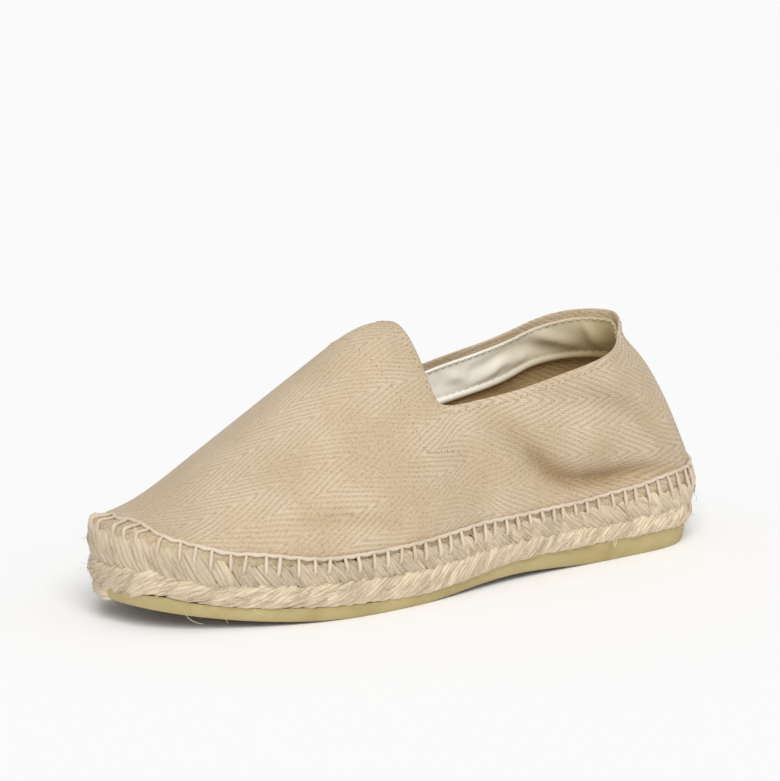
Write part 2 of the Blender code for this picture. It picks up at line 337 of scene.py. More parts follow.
# %% Lines of the shoe that later pieces follow, in millimetres
COLLAR = (
    # x, half width, near height, far height
    (108.5, 0.0, 96.5, 96.5),
    (104.5, 10.6, 93.0, 96.5),
    (97.5, 18.5, 88.6, 95.4),
    (87.4, 25.8, 86.0, 92.1),
    (74.4, 31.1, 83.8, 86.4),
    (59.3, 32.9, 81.4, 82.5),
    (43.2, 33.5, 78.6, 79.5),
    (23.2, 33.8, 76.0, 75.7),
    (-5.5, 33.4, 74.7, 74.7),
)
RIDGE = (
    # x, height
    (-5.5, 104.5), (-19.5, 103.6), (-37.1, 94.1), (-60.9, 78.3), (-79.8, 66.4), (-91.0, 59.5),
    (-104.8, 51.6), (-116.1, 46.3), (-131.2, 41.3), (-142.5, 39.7),
)
RIDGE_SLOPE = math.radians(33)
CLOTH_TURN = math.radians(17)
QUARTER_FALL = 0.09
MEETING = Vector((4, 38, 58)) * MM
BLEND_FROM, BLEND_TO = -14 * MM, 20 * MM


def lengths_along(points):
    """The length gone at each point of a line."""
    return np.concatenate([[0], np.cumsum(np.linalg.norm(np.diff(points, axis=0), axis=1))])


def at_lengths(points, lengths, gone):
    """Places on a line at lengths along it."""
    return np.stack([np.interp(gone, lengths, points[:, axis]) for axis in range(3)], axis=1)


def on_curve(a, b, c, d, t):
    """A point of the smooth curve between b and c, which also looks at the points around them."""
    return 0.5 * (
        2 * b + (c - a) * t + (2 * a - 5 * b + 4 * c - d) * t ** 2
        + (3 * b - a - 3 * c + d) * t ** 3
    )


def rounded_line(points, count, fine=16):
    """A smooth line through a few points, as that many points at even steps."""
    points = [Vector(p) for p in points]
    ghosts = [points[0] * 2 - points[1], *points, points[-1] * 2 - points[-2]]
    line = [
        on_curve(*four, k / fine)
        for four in zip(ghosts, ghosts[1:], ghosts[2:], ghosts[3:]) for k in range(fine)
    ]
    return even_steps([*line, points[-1]], count)


def even_steps(points, count):
    """The same line with its points at even distances."""
    fine = np.array([tuple(p) for p in points], float)
    lengths = lengths_along(fine)
    return [Vector(p) for p in at_lengths(fine, lengths, np.linspace(0, lengths[-1], count))]


def collar_side(side):
    """The collar's edge from the back seam to the notch, on one side."""
    height = 2 if side < 0 else 3
    return [Vector((row[0], side * row[1], row[height])) * MM for row in COLLAR]


def vamp_lengths(places):
    """Along and across the stripes on the vamp, rolled out flat from the ridge and turned."""
    x, y, z = places.T
    ridge = np.array(RIDGE) * MM
    ahead = np.array([math.cos(RIDGE_SLOPE), math.sin(RIDGE_SLOPE)])
    above = np.array([-math.sin(RIDGE_SLOPE), math.cos(RIDGE_SLOPE)])
    order = np.argsort(ridge @ ahead)
    gone = np.stack([x, z], axis=1) @ ahead
    drop = np.interp(gone, (ridge @ ahead)[order], (ridge @ above)[order])
    drop = np.maximum(drop - np.stack([x, z], axis=1) @ above, 1e-6)
    lean = np.arctan2(drop, np.abs(y) + 1e-9)
    rolled = -np.sign(y) * np.hypot(y, drop) * lean / np.sin(lean)
    turn = math.cos(CLOTH_TURN), math.sin(CLOTH_TURN)
    return gone * turn[0] + rolled * turn[1], rolled * turn[0] - gone * turn[1]


def quarter_lengths(places, side):
    """Along and across the stripes on a quarter, which run back nearly level around the heel."""
    line = np.array([tuple(p) for p in rounded_line(collar_side(side), 90)[::-1]])
    flat = np.linalg.norm(places[:, None, :2] - line[None, :, :2], axis=2)
    nearest = flat.argmin(axis=1)
    steps = lengths_along(line[:, :2])
    way = np.gradient(line[:, :2], axis=0)[nearest]
    way /= np.linalg.norm(way, axis=1, keepdims=True)
    past = ((places[:, :2] - line[nearest, :2]) * way).sum(axis=1)
    return steps[nearest] + past, -places[:, 2] - QUARTER_FALL * places[:, 0]


def weave_lengths(places):
    """Length along and across the herringbone's stripes for each point."""
    along, across = vamp_lengths(places)
    share = np.clip((places[:, 0] - BLEND_FROM) / (BLEND_TO - BLEND_FROM), 0, 1)
    share = share * share * (3 - 2 * share)
    for side in (-1, 1):
        mine = (places[:, 1] * side >= 0) & (share > 0)
        spot = np.array([[MEETING.x, side * MEETING.y, MEETING.z]])
        spot_along, spot_across = vamp_lengths(spot)
        level_along, level_across = quarter_lengths(places[mine], side)
        there_along, there_across = quarter_lengths(spot, side)
        level_along += spot_along - there_along
        level_across = -side * (level_across - there_across) + spot_across
        along[mine] += (level_along - along[mine]) * share[mine]
        across[mine] += (level_across - across[mine]) * share[mine]
    return along, across


def give_weave(piece):
    """Writes the two lengths into the piece's UV map, so that one unit is one metre of cloth."""
    along, across = weave_lengths(places_of(piece))
    mesh = piece.data
    for old in list(mesh.uv_layers):
        mesh.uv_layers.remove(old)
    layer = mesh.uv_layers.new(name="weave")
    corner = np.empty(len(mesh.loops), int)
    mesh.loops.foreach_get("vertex_index", corner)
    layer.data.foreach_set("uv", np.stack([along[corner], across[corner]], axis=1).ravel())


give_weave(upper)

# %% [markdown]
# ## Which side of the cloth shows
# The outside is the beige face of the herringbone. The inside is the cloth's reverse, browner and
# more open, because it was never brushed. A face belongs to the outside when it looks away from the
# middle of the shoe.

# %% Outside and inside faces
REVERSE_SLOT = 1
HEM_DEPTH = 4.3 * MM
SHOE_MIDDLE = 31 * MM
ABOVE_ALL = 1.0


def collar_height(x, side):
    """Height of the collar's edge at a place along the shoe. The vamp counts as below it."""
    rows = np.array(COLLAR[::-1]) * MM
    edge = np.interp(x, rows[:, 0], rows[:, 2 if side < 0 else 3])
    return np.where(x < rows[0, 0], ABOVE_ALL, edge)


def mark_reverse(piece):
    """Gives every face that looks into the shoe, below the folded hem, the second material slot."""
    mesh = piece.data
    centres = np.empty(len(mesh.polygons) * 3)
    normals = np.empty(len(mesh.polygons) * 3)
    mesh.polygons.foreach_get("center", centres)
    mesh.polygons.foreach_get("normal", normals)
    centres, normals = centres.reshape(-1, 3), normals.reshape(-1, 3)
    middle = np.stack([
        np.clip(centres[:, 0], *SPINE), np.zeros(len(centres)), np.full(len(centres), SHOE_MIDDLE),
    ], axis=1)
    facing = ((centres - middle) * normals).sum(axis=1)
    near, far = (collar_height(centres[:, 0], side) for side in (-1, 1))
    edge = np.where(centres[:, 1] < 0, near, far)
    inside = (facing < 0) & (centres[:, 2] < edge - HEM_DEPTH)
    mesh.polygons.foreach_set("material_index", np.where(inside, REVERSE_SLOT, 0).astype(int))
    mesh.update()


mark_reverse(upper)

# %% [markdown]
# ## Canvas, a herringbone cotton
# It is a heavy cotton twill, woven from slubby undyed yarn and left matt. Each warp yarn floats over
# a few threads and dives under the next, and its floats step sideways from yarn to yarn, which draws
# slanted lines two millimetres apart. Every eleven millimetres the steps turn back. The eye gets a
# low zigzag made of short dashes, never quite even, and a soft felt at grazing angles.

# %% Canvas finish
YARN = 0.72 * MM
LINE_PITCH = 2.05 * MM
STRIPE_WIDTH = 11.3 * MM
SLANT = 1 / math.tan(math.radians(20))
FLOAT_PITCH = LINE_PITCH * math.hypot(1, SLANT)
YARN_DRIFT = 2.2 * MM


def yarns(tree, uv):
    """Heights from 0 to 1: the floats of the warp yarns, and the round of each yarn."""
    wander = add(tree, "TexNoise", {"noise_dimensions": "2D"}, Vector=uv, Scale=45.0, Detail=2.0)
    pushed = add(tree, "VectorMath", {"operation": "MULTIPLY_ADD"},
                 in0=wander.outputs["Color"], in1=(YARN_DRIFT, YARN_DRIFT, 0.0), in2=uv)
    split = add(tree, "SeparateXYZ", Vector=pushed)
    turned = add(tree, "Math", {"operation": "PINGPONG"}, in0=split.outputs["Y"], in1=STRIPE_WIDTH)
    counted = add(tree, "Math", {"operation": "DIVIDE"}, in0=turned, in1=YARN)
    whole = add(tree, "Math", {"operation": "FLOOR"}, in0=counted)
    part = add(tree, "Math", {"operation": "FRACT"}, in0=counted)
    stepped = add(tree, "Math", {"operation": "MULTIPLY_ADD"},
                  in0=whole, in1=YARN * SLANT, in2=split.outputs["X"])
    phase = add(tree, "Math", {"operation": "MULTIPLY"}, in0=stepped, in1=2 * math.pi / FLOAT_PITCH)
    wave = add(tree, "Math", {"operation": "SINE"}, in0=phase)
    floats = add(tree, "MapRange", Value=wave, From_Min=-1.0, From_Max=0.7)
    bend = add(tree, "Math", {"operation": "MULTIPLY"}, in0=part, in1=math.pi)
    return floats, add(tree, "Math", {"operation": "SINE"}, in0=bend)


def canvas_finish(name, pale, mid, deep, depth):
    made, tree = new_finish(name)
    uv = add(tree, "UVMap", {"uv_map": "weave"})
    floats, rounded = yarns(tree, uv)
    wear_and_shade = add(tree, "TexNoise", {"noise_dimensions": "2D"}, Vector=uv, Scale=34.0, Detail=2.0)
    clear = add(tree, "MapRange", Value=wear_and_shade, From_Min=0.35, From_Max=0.62, To_Min=0.25, To_Max=0.9)
    drawn = add(tree, "Math", {"operation": "MULTIPLY"}, in0=floats, in1=clear)
    woven = add(tree, "Math", {"operation": "MULTIPLY_ADD"}, in0=rounded, in1=0.3, in2=drawn)
    slub = add(tree, "TexNoise", {"noise_dimensions": "2D"},
               Vector=uv, Scale=760.0, Detail=3.0, Roughness=0.7)
    height = add(tree, "Math", {"operation": "MULTIPLY_ADD"}, in0=slub, in1=1.35, in2=woven)
    level = add(tree, "MapRange", Value=height, From_Min=0.45, From_Max=1.85)
    ramp = add(tree, "ValToRGB", stops=((0.0, deep), (0.4, mid), (1.0, pale)), Fac=level)
    place = add(tree, "TexCoord").outputs["Object"]
    cloud = add(tree, "TexNoise", Vector=place, Scale=30.0, Detail=4.0)
    drift = add(tree, "MapRange", Value=cloud, From_Min=0.3, From_Max=0.7, To_Min=0.95, To_Max=1.04)
    tinted = add(tree, "VectorMath", {"operation": "SCALE"}, in0=ramp, Scale=drift)
    # painted shade: the shade attribute darkens the colour in the creases' troughs, most where they are
    # deepest
    folded = add(tree, "Attribute", {"attribute_name": "shade"})
    dusk = add(tree, "MapRange", Value=folded.outputs["Fac"], From_Min=0.05, From_Max=0.9)
    crease_shaded = add(tree, "Mix", {"data_type": "RGBA", "blend_type": "MULTIPLY"},
                in0=dusk, in6=tinted, in7=tone("#D6CBB8"))
    return finished(
        made, Base_Color=crease_shaded.outputs[2], Roughness=0.92, Specular_IOR_Level=0.2,
        Sheen_Weight=0.12, Sheen_Roughness=0.6,
        Normal=add(tree, "Bump", Height=level, Strength=0.8, Distance=depth),
    )


canvas = canvas_finish("herringbone_cotton_canvas", "#D2BFA6", "#C4AF90", "#A58C68", 0.42 * MM)
canvas_back = canvas_finish("reverse_of_the_canvas", "#CBAF88", "#B89A6C", "#93764A", 0.45 * MM)
upper.data.materials.append(canvas)
upper.data.materials.append(canvas_back)

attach(upper, "root")
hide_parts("upper")

# %% [markdown]
# ## Rings around the sole
# The braid, the thread and the hairs all run around the foot of the shoe at known heights that rise
# towards the toe. A ring is found as a person would feel it: rays come in from outside at the wanted
# height and stop on the solid. The length gone is kept for each point, so that stitches and strands
# can be counted along it.

# %% Heights of the sole's lines, in millimetres
SOLE = (
    # x, foot of the braid, foot of the canvas
    (-144, 12.0, 34.0), (-141, 13.6, 33.2), (-137, 13.8, 31.7), (-131, 13.4, 30.0),
    (-125, 11.7, 28.3), (-119, 10.4, 27.0), (-106, 8.4, 24.8), (-90, 7.0, 23.7),
    (-70, 5.5, 23.5), (-45, 4.6, 23.3), (-25, 3.8, 22.8), (-6, 5.2, 23.3),
    (18, 7.5, 24.0), (38, 8.3, 23.8), (60, 8.0, 23.0), (95, 7.8, 23.5),
    (120, 7.8, 24.5), (144, 7.8, 24.8),
)
CORD_LINE = (
    # x, half width, near height, far height, where the cord lies on the canvas
    (-136.0, 0.0, 40.4, 40.4), (-133.4, 6.0, 40.7, 39.4), (-132.2, 12.0, 39.9, 38.0),
    (-131.8, 18.5, 38.4, 36.6), (-130.2, 23.5, 37.0, 35.4), (-126.8, 27.3, 35.7, 34.6),
    (-122.4, 30.5, 34.4, 33.6), (-116.0, 34.6, 32.3, 32.3), (-109.0, 38.2, 30.5, 30.5),
    (-98.0, 42.4, 29.3, 29.3), (-86.0, 46.5, 27.3, 27.3), (-76.0, 48.8, 25.9, 25.9),
    (-64.0, 50.5, 25.4, 25.4), (-48.0, 51.1, 25.6, 25.6), (-34.0, 50.2, 25.8, 25.8),
    (-20.0, 48.5, 26.3, 26.3), (-6.2, 46.2, 27.1, 27.1), (7.0, 43.7, 27.8, 27.8),
    (24.0, 41.0, 27.4, 27.4), (43.8, 38.6, 27.6, 27.6), (62.0, 37.2, 27.8, 27.8),
    (77.0, 36.2, 28.9, 28.9), (92.0, 35.2, 29.7, 29.7), (102.0, 34.2, 31.0, 31.0),
    (110.7, 32.9, 31.9, 31.9), (119.0, 30.4, 32.3, 32.3), (130.0, 24.0, 32.5, 32.5),
    (137.5, 14.0, 32.8, 32.8), (141.0, 0.0, 33.0, 33.0),
)
BRAID_FOOT, CANVAS_FOOT = 1, 2
RING_ENDS = (-95 * MM, 100 * MM)
RING_RADIUS = 60 * MM
FIRST_GUESS, RAY_START = 40 * MM, 90 * MM


def sole_height(x, line):
    """Height of one of the sole's lines at a place along the shoe, all in metres."""
    rows = np.array(SOLE) * MM
    return np.interp(x, rows[:, 0], rows[:, line])


def braid_height(x, level):
    """Height at a share of the braid, from 0 on the rubber to 1 at the canvas."""
    low = sole_height(x, BRAID_FOOT)
    return low + level * (sole_height(x, CANVAS_FOOT) - low)


def search_tree(*pieces):
    """One search tree over the faces of some pieces, for rays to stop on."""
    corners, faces = [], []
    for piece in pieces:
        start = len(corners)
        corners += [v.co.copy() for v in piece.data.vertices]
        faces += [[start + i for i in face.vertices] for face in piece.data.polygons]
    return BVHTree.FromPolygons(corners, faces)


def around(share):
    """Middle point and outward direction at a share of the way round, from the back of the heel."""
    straight = RING_ENDS[1] - RING_ENDS[0]
    bend = math.pi * RING_RADIUS
    gone = (share % 1) * 2 * (straight + bend)
    if gone < bend / 2:
        middle, angle = RING_ENDS[1], -gone / RING_RADIUS
    elif gone < bend / 2 + straight:
        middle, angle = RING_ENDS[1] - (gone - bend / 2), -math.pi / 2
    elif gone < 1.5 * bend + straight:
        middle, angle = RING_ENDS[0], -math.pi / 2 - (gone - bend / 2 - straight) / RING_RADIUS
    elif gone < 1.5 * bend + 2 * straight:
        middle, angle = RING_ENDS[0] + (gone - 1.5 * bend - straight), math.pi / 2
    else:
        middle, angle = RING_ENDS[1], math.pi / 2 - (gone - 1.5 * bend - 2 * straight) / RING_RADIUS
    return middle, Vector((math.cos(angle), math.sin(angle), 0))


def ring_on(tree, height, steps=420, tries=3):
    """Points where rays from outside meet the pieces, with the length gone at each.

    The height depends on where a ray lands, so each ray is sent a few times.
    """
    points = []
    for k in range(steps):
        middle, outside = around(k / steps)
        x = middle + outside.x * FIRST_GUESS
        for _ in range(tries):
            start = Vector((middle, 0, float(height(x)))) + outside * RAY_START
            met = tree.ray_cast(start, -outside)[0]
            x = met.x if met else x
        if met:
            points.append(tuple(met))
    points.append(points[0])
    points = np.array(points)
    return points, lengths_along(points)


def on_ring(ring, gone, reach=2.5 * MM):
    """Places on a ring and the level directions out of it, at lengths along it."""
    points, lengths = ring
    gone = np.atleast_1d(np.asarray(gone, float))

    def place(s):
        return at_lengths(points, lengths, np.mod(s, lengths[-1]))

    way = place(gone + reach) - place(gone - reach)
    out = np.stack([-way[:, 1], way[:, 0], np.zeros(len(way))], axis=1)
    return place(gone), out / np.linalg.norm(out, axis=1, keepdims=True)


def ring_through(rows, tree):
    """A closed ring through a table of one side's points, laid onto the faces of a tree."""
    near = [Vector((x, -y, z)) * MM for x, y, z, _ in reversed(rows)]
    far = [Vector((x, y, z)) * MM for x, y, _, z in rows[1:-1]]
    laid = [tree.find_nearest(p)[0] for p in even_steps(rounded_loop(near + far), 400)]
    points = np.array([tuple(p) for p in laid] + [tuple(laid[0])])
    return points, lengths_along(points)


def rounded_loop(points, fine=12):
    """A smooth closed line through a few points."""
    count = len(points)
    return [
        on_curve(*(points[(k + i) % count] for i in (-1, 0, 1, 2)), step / fine)
        for k in range(count) for step in range(fine)
    ]


jute_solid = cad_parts["jute_sole"]
jute_tree = search_tree(jute_solid)
canvas_tree = search_tree(upper)
dress_tree = search_tree(upper, jute_solid)
# shares of the braid's height where its rows run, and how far below it the third row does
UPPER_ROW, TOE_ROW, LOWER_ROW, RIM_DROP = 0.76, 0.86, 0.29, 2.2 * MM
TOE_FROM, TOE_TO = -138 * MM, -108 * MM
rubber_tree = search_tree(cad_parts["outsole"])
upper_ring = ring_on(
    jute_tree, lambda x: braid_height(x, np.interp(x, (TOE_FROM, TOE_TO), (TOE_ROW, UPPER_ROW)))
)
lower_ring = ring_on(jute_tree, lambda x: braid_height(x, LOWER_ROW))
rim_ring = ring_on(rubber_tree, lambda x: braid_height(x, 0) - RIM_DROP)
cord_ring = ring_through(CORD_LINE, canvas_tree)
print("once around the braid", round(upper_ring[1][-1] / MM), "mm, the cord",
      round(cord_ring[1][-1] / MM), "mm")

# %% [markdown]
# ## Many copies in one mesh
# A braid or a seam is one shape made hundreds of times. The shape is modelled once, its points are
# moved to each place by a rule, and all copies are written into one mesh with a tone for each copy,
# which the material uses so that no two strands have quite the same colour.

# %% Helpers for repeated shapes
def shape_of(piece):
    """Takes the points, faces and UV places out of a modelled piece, and removes the piece."""
    mesh = piece.data
    faces = [tuple(face.vertices) for face in mesh.polygons]
    uv = np.zeros(len(mesh.loops) * 2)
    if mesh.uv_layers:
        mesh.uv_layers.active.data.foreach_get("uv", uv)
    shape = (places_of(piece).copy(), faces, uv.reshape(-1, 2))
    bpy.data.objects.remove(piece)
    return shape


def joined(name, copies):
    """Writes copies, each as points, faces, UV places and a tone, into one smooth piece."""
    points, faces, uvs, tones = [], [], [], []
    start = 0
    for places, copy_faces, copy_uv, copy_tone in copies:
        points.append(places)
        faces += [tuple(i + start for i in face) for face in copy_faces]
        uvs.append(copy_uv)
        tones.append(np.full(len(places), copy_tone))
        start += len(places)
    mesh = bpy.data.meshes.new(name)
    mesh.from_pydata(np.concatenate(points).tolist(), [], faces)
    mesh.uv_layers.new(name="along").data.foreach_set("uv", np.concatenate(uvs).ravel())
    mesh.attributes.new("tone", "FLOAT", "POINT").data.foreach_set("value", np.concatenate(tones))
    mesh.shade_smooth()
    piece = bpy.data.objects.new(name, mesh)
    bpy.context.collection.objects.link(piece)
    print(name, "has", len(copies), "copies and", len(mesh.polygons), "faces")
    return piece


# %% [markdown]
# ## The plait of jute
# Jute is combed into flat strands and plaited, and the plait is wound into the sole. From the side it
# shows two rows that lean towards each other, like arrowheads. At the tip of the toe a short third row
# comes down over the rubber, from the middle towards the far side. Each strand is a bundle, so it is
# modelled as four flat spindles side by side, whose ends dive under their neighbours. The core behind
# is the solid, drawn in by the depth of the strands.

# %% Core of the jute sole
STRAND_DEPTH = 2.6 * MM
jute_core = copy_solid("jute_sole", "jute_core")
core_points = places_of(jute_core)
core_points -= outward(core_points) * STRAND_DEPTH
put_back(jute_core, core_points)
smoothed(jute_core, 1)

# %% One strand, lying along x with its face up
rng = random.Random(7)
STRAND_PARTS = 4
# how full a strand stays to its ends, how far its parts spread and come together, and how deep
# its edges and ends lie
FULLNESS, SPREAD, GATHER = 0.2, 0.36, 0.35
EDGE_DROP, END_DIVE, DIVE_CURVE = 0.4 * MM, 1.7 * MM, 2.6


def strand(length, width, thickness, seed):
    """Four flat spindles side by side, nearly even in width, whose ends dive under the next."""
    dice = random.Random(seed)
    middle = (STRAND_PARTS - 1) / 2
    parts = []
    for k in range(STRAND_PARTS):
        bpy.ops.mesh.primitive_uv_sphere_add(segments=8, ring_count=9, radius=0.5)
        spindle = bpy.context.object
        bpy.ops.object.mode_set(mode="EDIT")
        bpy.ops.mesh.select_all(action="SELECT")
        bpy.ops.transform.rotate(value=math.pi / 2, orient_axis="Y", center_override=(0, 0, 0))
        bpy.ops.transform.resize(value=(
            length * dice.uniform(0.88, 1.08),
            width / STRAND_PARTS * dice.uniform(1.3, 1.8),
            thickness * dice.uniform(0.75, 1.0),
        ), center_override=(0, 0, 0))
        bpy.ops.object.mode_set(mode="OBJECT")
        points, faces, uv = shape_of(spindle)
        ends = np.clip(points[:, 0] / (length / 2), -0.97, 0.97)
        points[:, 1:] *= ((1 - ends ** 2) ** -FULLNESS)[:, None]
        side = (k - middle) / middle
        points[:, 1] += side * width * SPREAD * (1 - GATHER * ends ** 2)
        points[:, 1] += dice.uniform(-0.25, 0.25) * MM
        points[:, 2] += dice.uniform(-0.25, 0.15) * MM - side ** 2 * EDGE_DROP
        points[:, 2] -= END_DIVE * np.abs(ends) ** DIVE_CURVE
        parts.append((points, faces, uv))
    return parts


# how far strands may reach down over the rubber at the toe, and the x where that begins on each side
TOE_COVER = 5.0 * MM
NEAR_COVER, FAR_COVER, COVER_FADE = -134 * MM, -119 * MM, 5 * MM
TUCK_ABOVE, TUCK_IN, TUCK_UP = 0.5 * MM, 0.6, 0.85


def foot_of_strands(x, y):
    """Height where the strands tuck under: the rubber's edge, or lower where they cover the toe."""
    covered = np.clip((np.where(y > 0, FAR_COVER, NEAR_COVER) - x) / COVER_FADE, 0, 1)
    return sole_height(x, BRAID_FOOT) - TOE_COVER * covered


def leaning_copy(shape, ring, gone, angle, grow, out):
    """Lays a shape on a ring, turned by an angle, and tucks in what would hang below the braid."""
    points, faces, uv = shape
    along = points[:, 0] * math.cos(angle) - points[:, 1] * math.sin(angle)
    up = points[:, 0] * math.sin(angle) + points[:, 1] * math.cos(angle)
    base, outside = on_ring(ring, gone + along * grow)
    placed = base + outside * (points[:, 2:3] + out)
    placed[:, 2] += up * grow
    foot = foot_of_strands(placed[:, 0], placed[:, 1])
    under = np.maximum(foot + TUCK_ABOVE - placed[:, 2], 0)
    placed -= outside * (TUCK_IN * under[:, None])
    placed[:, 2] += TUCK_UP * under
    return placed, faces, uv


TOE_GROWTH = 1.42
BRAID_PITCH = 5.5 * MM
# x in millimetres and the change of tone there: painted light, darker at the toe, paler at the heel
PAINTED_LIGHT_ALONG = ((-110, -0.14), (0, -0.04), (100, 0.22))
# x in millimetres and the lean in degrees there
UPPER_LEAN = ((-144, 62), (-118, 56), (-60, 50), (0, 52), (30, 40), (70, 34), (100, 50), (144, 50))
RIM_LEAN = ((-144, -12), (-120, 4))
LOWER_LEAN = ((-144, -30), (-100, -24), (-40, -30), (10, -42), (60, -40), (144, -34))
ROWS = (
    # ring, lean, length, width, thickness, shift along in strands, the last x and the first y of
    # the row in millimetres, how far it stands out, tone
    (upper_ring, UPPER_LEAN, 12.6 * MM, 6.4 * MM, 2.7 * MM, 0.0, (144, -60), -1.25 * MM, 0.24),
    (lower_ring, LOWER_LEAN, 18.0 * MM, 6.2 * MM, 2.9 * MM, 0.35, (144, -60), -1.25 * MM, 0.52),
    (rim_ring, RIM_LEAN, 12.5 * MM, 5.6 * MM, 2.2 * MM, 0.6, (-117, 2), -0.1 * MM, 0.46),
)
strands = []
for ring, leans, length, width, thickness, shift, (last, first), stand, row_tone in ROWS:
    kinds = [strand(length, width, thickness, seed) for seed in range(8)]
    count = round(ring[1][-1] / BRAID_PITCH)
    for k in range(count):
        gone = (k + shift + rng.uniform(-0.16, 0.16)) / count * ring[1][-1]
        x, y, _ = on_ring(ring, gone)[0][0]
        lean = np.interp(x / MM, *zip(*leans))
        angle = math.radians(lean + rng.uniform(-8, 8))
        grow = rng.uniform(0.9, 1.12)
        if ring is upper_ring:
            grow *= np.interp(x, (TOE_FROM, TOE_TO), (TOE_GROWTH, 1))
        out = stand + rng.uniform(-0.25, 0.25) * MM
        shade = row_tone + np.interp(x / MM, *zip(*PAINTED_LIGHT_ALONG)) + rng.uniform(-0.2, 0.2)
        for part in rng.choice(kinds) if x < last * MM and y > first * MM else ():
            strands.append((*leaning_copy(part, ring, gone, angle, grow, out),
                            min(1, max(0, shade + rng.uniform(-0.12, 0.12)))))
braid = joined("jute_braid", strands)

# %% [markdown]
# ## Jute fibre
# Jute is a bast fibre, retted and combed but neither bleached nor dyed: pale straw with a silky sheen
# along the fibre, and dull brown where shade gathers between strands. Roughness is high, with fine
# streaks that run along every strand, a third of a millimetre apart.

# %% Jute finish
def jute_finish(name, pale, mid, deep):
    made, tree = new_finish(name)
    uv = add(tree, "UVMap", {"uv_map": "along"})
    own = add(tree, "Attribute", {"attribute_name": "tone"})
    apart = add(tree, "CombineXYZ", Z=own.outputs["Fac"])
    spread = add(tree, "VectorMath", {"operation": "MULTIPLY"}, in0=uv, in1=(26.0, 1.6, 0.0))
    moved = add(tree, "VectorMath", {"operation": "MULTIPLY_ADD"},
                in0=apart, in1=(0.0, 0.0, 37.0), in2=spread)
    streaks = add(tree, "TexNoise", Vector=moved, Scale=1.0, Detail=4.0, Roughness=0.65)
    ramp = add(tree, "ValToRGB", stops=((0.28, deep), (0.46, mid), (0.72, pale)), Fac=streaks)
    # the tone scales the colour: random differences between strands, and the painted light along the
    # plait
    lift = add(tree, "MapRange", Value=own.outputs["Fac"], To_Min=0.8, To_Max=1.24)
    return finished(
        made, Roughness=0.72, Specular_IOR_Level=0.35, Sheen_Weight=0.15,
        Base_Color=add(tree, "VectorMath", {"operation": "SCALE"}, in0=ramp, Scale=lift),
        Normal=add(tree, "Bump", Height=streaks, Strength=0.7, Distance=0.32 * MM),
    )


jute = jute_finish("combed_raw_jute", "#E2D3BC", "#D6C4A8", "#C0A780")
braid.data.materials.append(jute)


def core_finish():
    """Jute seen between the strands: the same fibre, matted, and coloured darker as painted shade."""
    made, tree = new_finish("matted_jute_painted_with_shade")
    place = add(tree, "TexCoord").outputs["Object"]
    fibres = add(tree, "TexNoise", Vector=place, Scale=420.0, Detail=5.0, Roughness=0.7)
    return finished(
        made, Roughness=0.9, Specular_IOR_Level=0.2,
        Base_Color=add(tree, "ValToRGB", stops=((0.3, "#A38A60"), (0.7, "#D2C09E")), Fac=fibres),
        Normal=add(tree, "Bump", Height=fibres, Strength=1.0, Distance=1.0 * MM),
    )


jute_core.data.materials.append(core_finish())
for piece in (jute_core, braid):
    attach(piece, "root")
    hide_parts("jute_sole")

# %% [markdown]
# ## The blanket stitch
# One thick cotton thread holds the shoe together. It goes into the braid, comes up over the canvas
# and loops around itself, so a cord of thread runs all the way round with an upright bar every 6.6
# millimetres. One length of thread is modelled as a rounded rod with a faint two-ply twist, and every
# length is bent along a route of its own, found by pulling it tight over the cloth and the braid.

# %% One length of thread, standing along z with a length of one
THREAD_RADIUS = 0.82 * MM
STITCH_PITCH = 6.55 * MM
BLUNT_ENDS, PLY_DEPTH = 0.35, 0.09


def thread_length(sides, rings, turns):
    """A rounded rod with a faint two-ply twist, one long and one in radius."""
    bpy.ops.mesh.primitive_uv_sphere_add(segments=sides, ring_count=rings, radius=1)
    points, faces, uv = shape_of(bpy.context.object)
    down = np.arccos(np.clip(points[:, 2], -1, 1)) / math.pi
    angle = np.arctan2(points[:, 1], points[:, 0])
    full = np.sin(math.pi * down) ** BLUNT_ENDS
    full *= 1 + PLY_DEPTH * np.cos(2 * (angle - 2 * math.pi * turns * down))
    points = np.stack([full * np.cos(angle), full * np.sin(angle), down], axis=1)
    return points, [face[::-1] for face in faces], reversed_corners(faces, uv)


def reversed_corners(faces, uv):
    """UV places in the order of faces that were turned over."""
    turned, start = np.empty_like(uv), 0
    for face in faces:
        turned[start:start + len(face)] = uv[start:start + len(face)][::-1]
        start += len(face)
    return turned


def bent_along(shape, route, radius, aside=None):
    """Bends a shape that stands along z to a route. The way aside keeps it from twisting."""
    points, faces, uv = shape
    route = np.array(route)
    if aside is None:
        aside = np.eye(3)[np.abs(route[-1] - route[0]).argmin()]
    lengths = lengths_along(route)

    def place(share):
        return at_lengths(route, lengths, np.clip(share, 0, 1) * lengths[-1])

    share = points[:, 2]
    way = place(share + 0.04) - place(share - 0.04)
    way /= np.linalg.norm(way, axis=1, keepdims=True)
    guide = np.cross(way, np.array(aside))
    guide /= np.linalg.norm(guide, axis=1, keepdims=True)
    other = np.cross(guide, way)
    placed = place(share) + guide * points[:, 0:1] * radius + other * points[:, 1:2] * radius
    return placed, faces, uv


def smooth_route(points, count=24):
    return [tuple(p) for p in rounded_line(points, count)]


# %% Upright bars, each pulled tight over the canvas edge and into the braid
BAR_FEET = (
    # x, depth of the bar's foot below the foot of the canvas, lean along the ring
    (-144, 0.6, 1.2), (-130, 1.0, 1.6), (-115, 2.6, 1.4), (-90, 4.0, 1.0), (-60, 5.0, 0.6),
    (0, 4.6, 0.0), (30, 3.0, -0.4), (60, 2.0, -0.6), (90, 2.6, -1.2), (115, 3.6, -1.8),
    (144, 3.6, -2.0),
)
feet = np.array(BAR_FEET) * MM
foot_ring = ring_on(
    jute_tree, lambda x: sole_height(x, CANVAS_FOOT) - np.interp(x, feet[:, 0], feet[:, 1])
)
BAR_STEPS = 11
BAR_DIVE = 2.1 * MM
DIVE_STEP = 6
BAR_TOP = 0.9 * MM
OFF_THE_SHOE = 14 * MM


